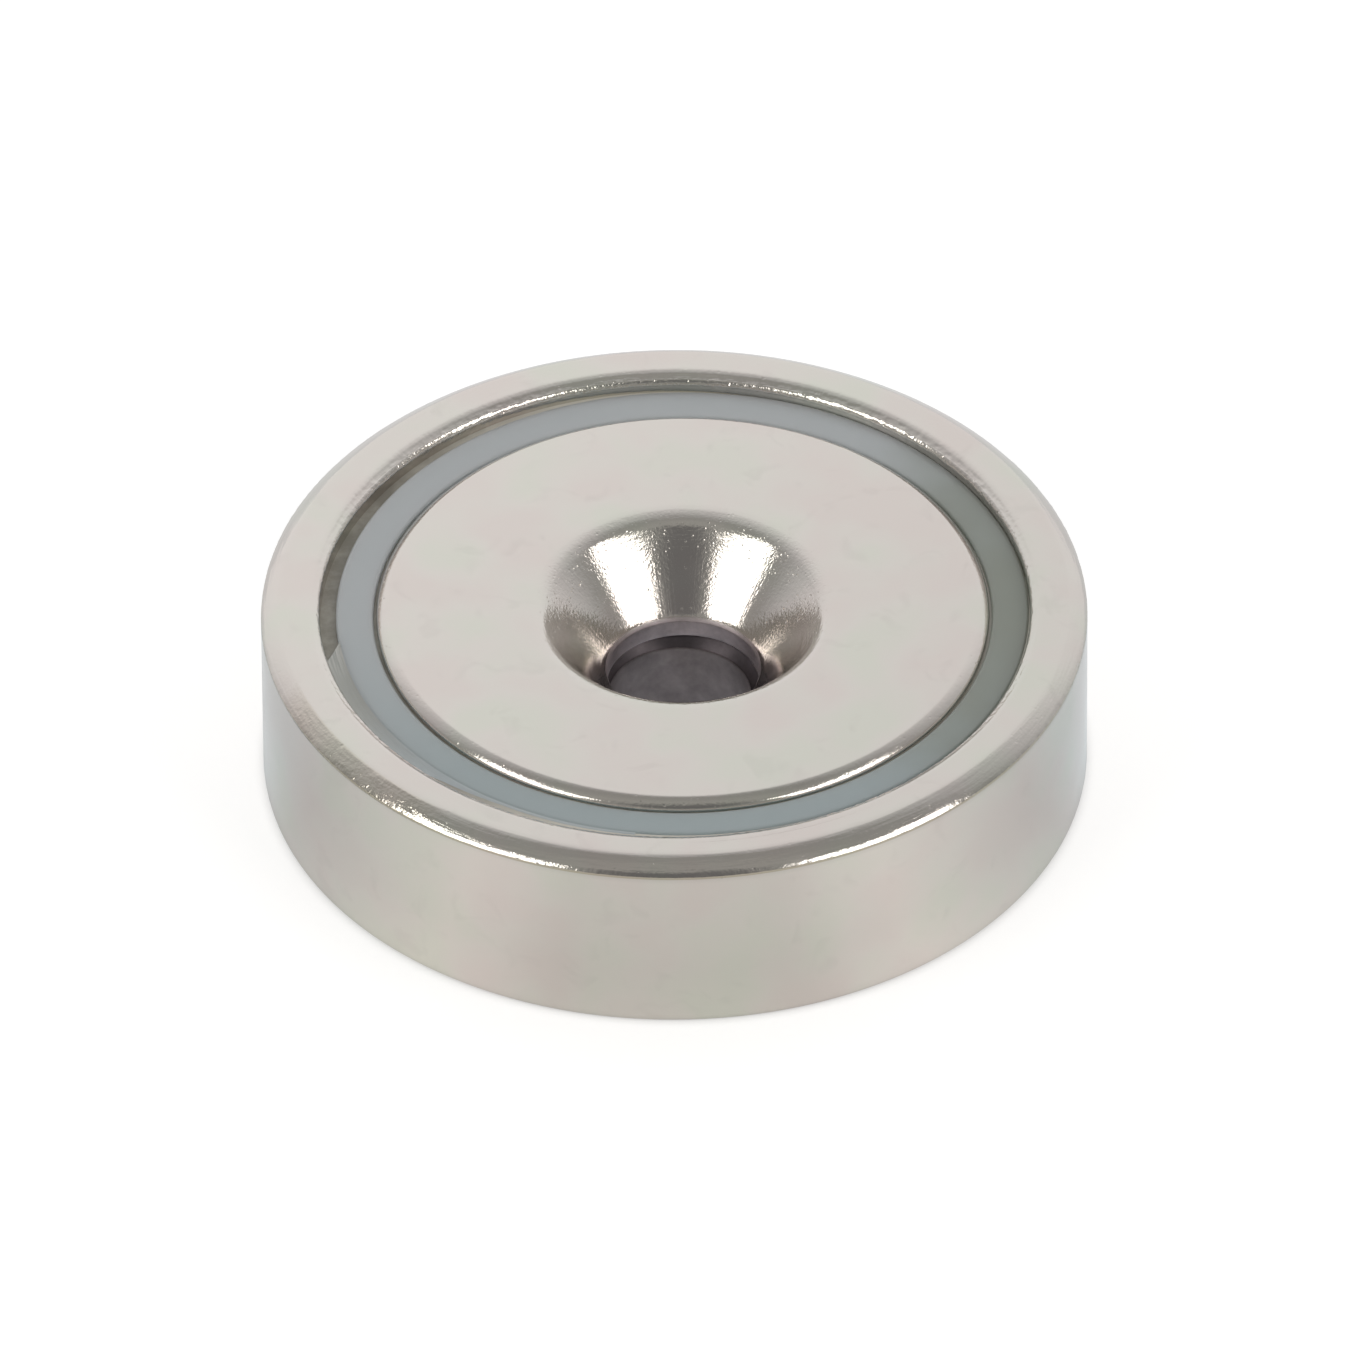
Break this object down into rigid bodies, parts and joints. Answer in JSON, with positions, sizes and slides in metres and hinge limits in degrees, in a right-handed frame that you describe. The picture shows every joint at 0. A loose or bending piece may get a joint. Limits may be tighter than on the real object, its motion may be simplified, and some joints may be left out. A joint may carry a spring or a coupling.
{
  "type": "countersunk pot magnet",
  "caption": "Flat round holding magnet: a ring magnet with a countersunk screw hole, set in a plated steel cup with a plastic spacer ring.",
  "frame": {"origin": "middle of the cup's flat back face, on the axis of the cup", "axes": "+Z along the cup's axis, out of the holding face; the magnet and its spacer sit slightly off centre, towards +X, and so does the screw hole, by less"},
  "size_m": [0.032, 0.032, 0.0078],
  "materials": {
    "cup_nickel": "bright nickel plated steel",
    "magnet_nickel": "nickel plated sintered magnet",
    "spacer_plastic": "moulded, satin, blue-grey",
    "cured_adhesive": "cured, grey, slightly see-through"
  },
  "bodies": {
    "root": {"steel_cup": "cup_nickel", "ring_magnet": "magnet_nickel", "spacer_ring": "spacer_plastic", "adhesive": "cured_adhesive"}
  },
  "joints": []
}
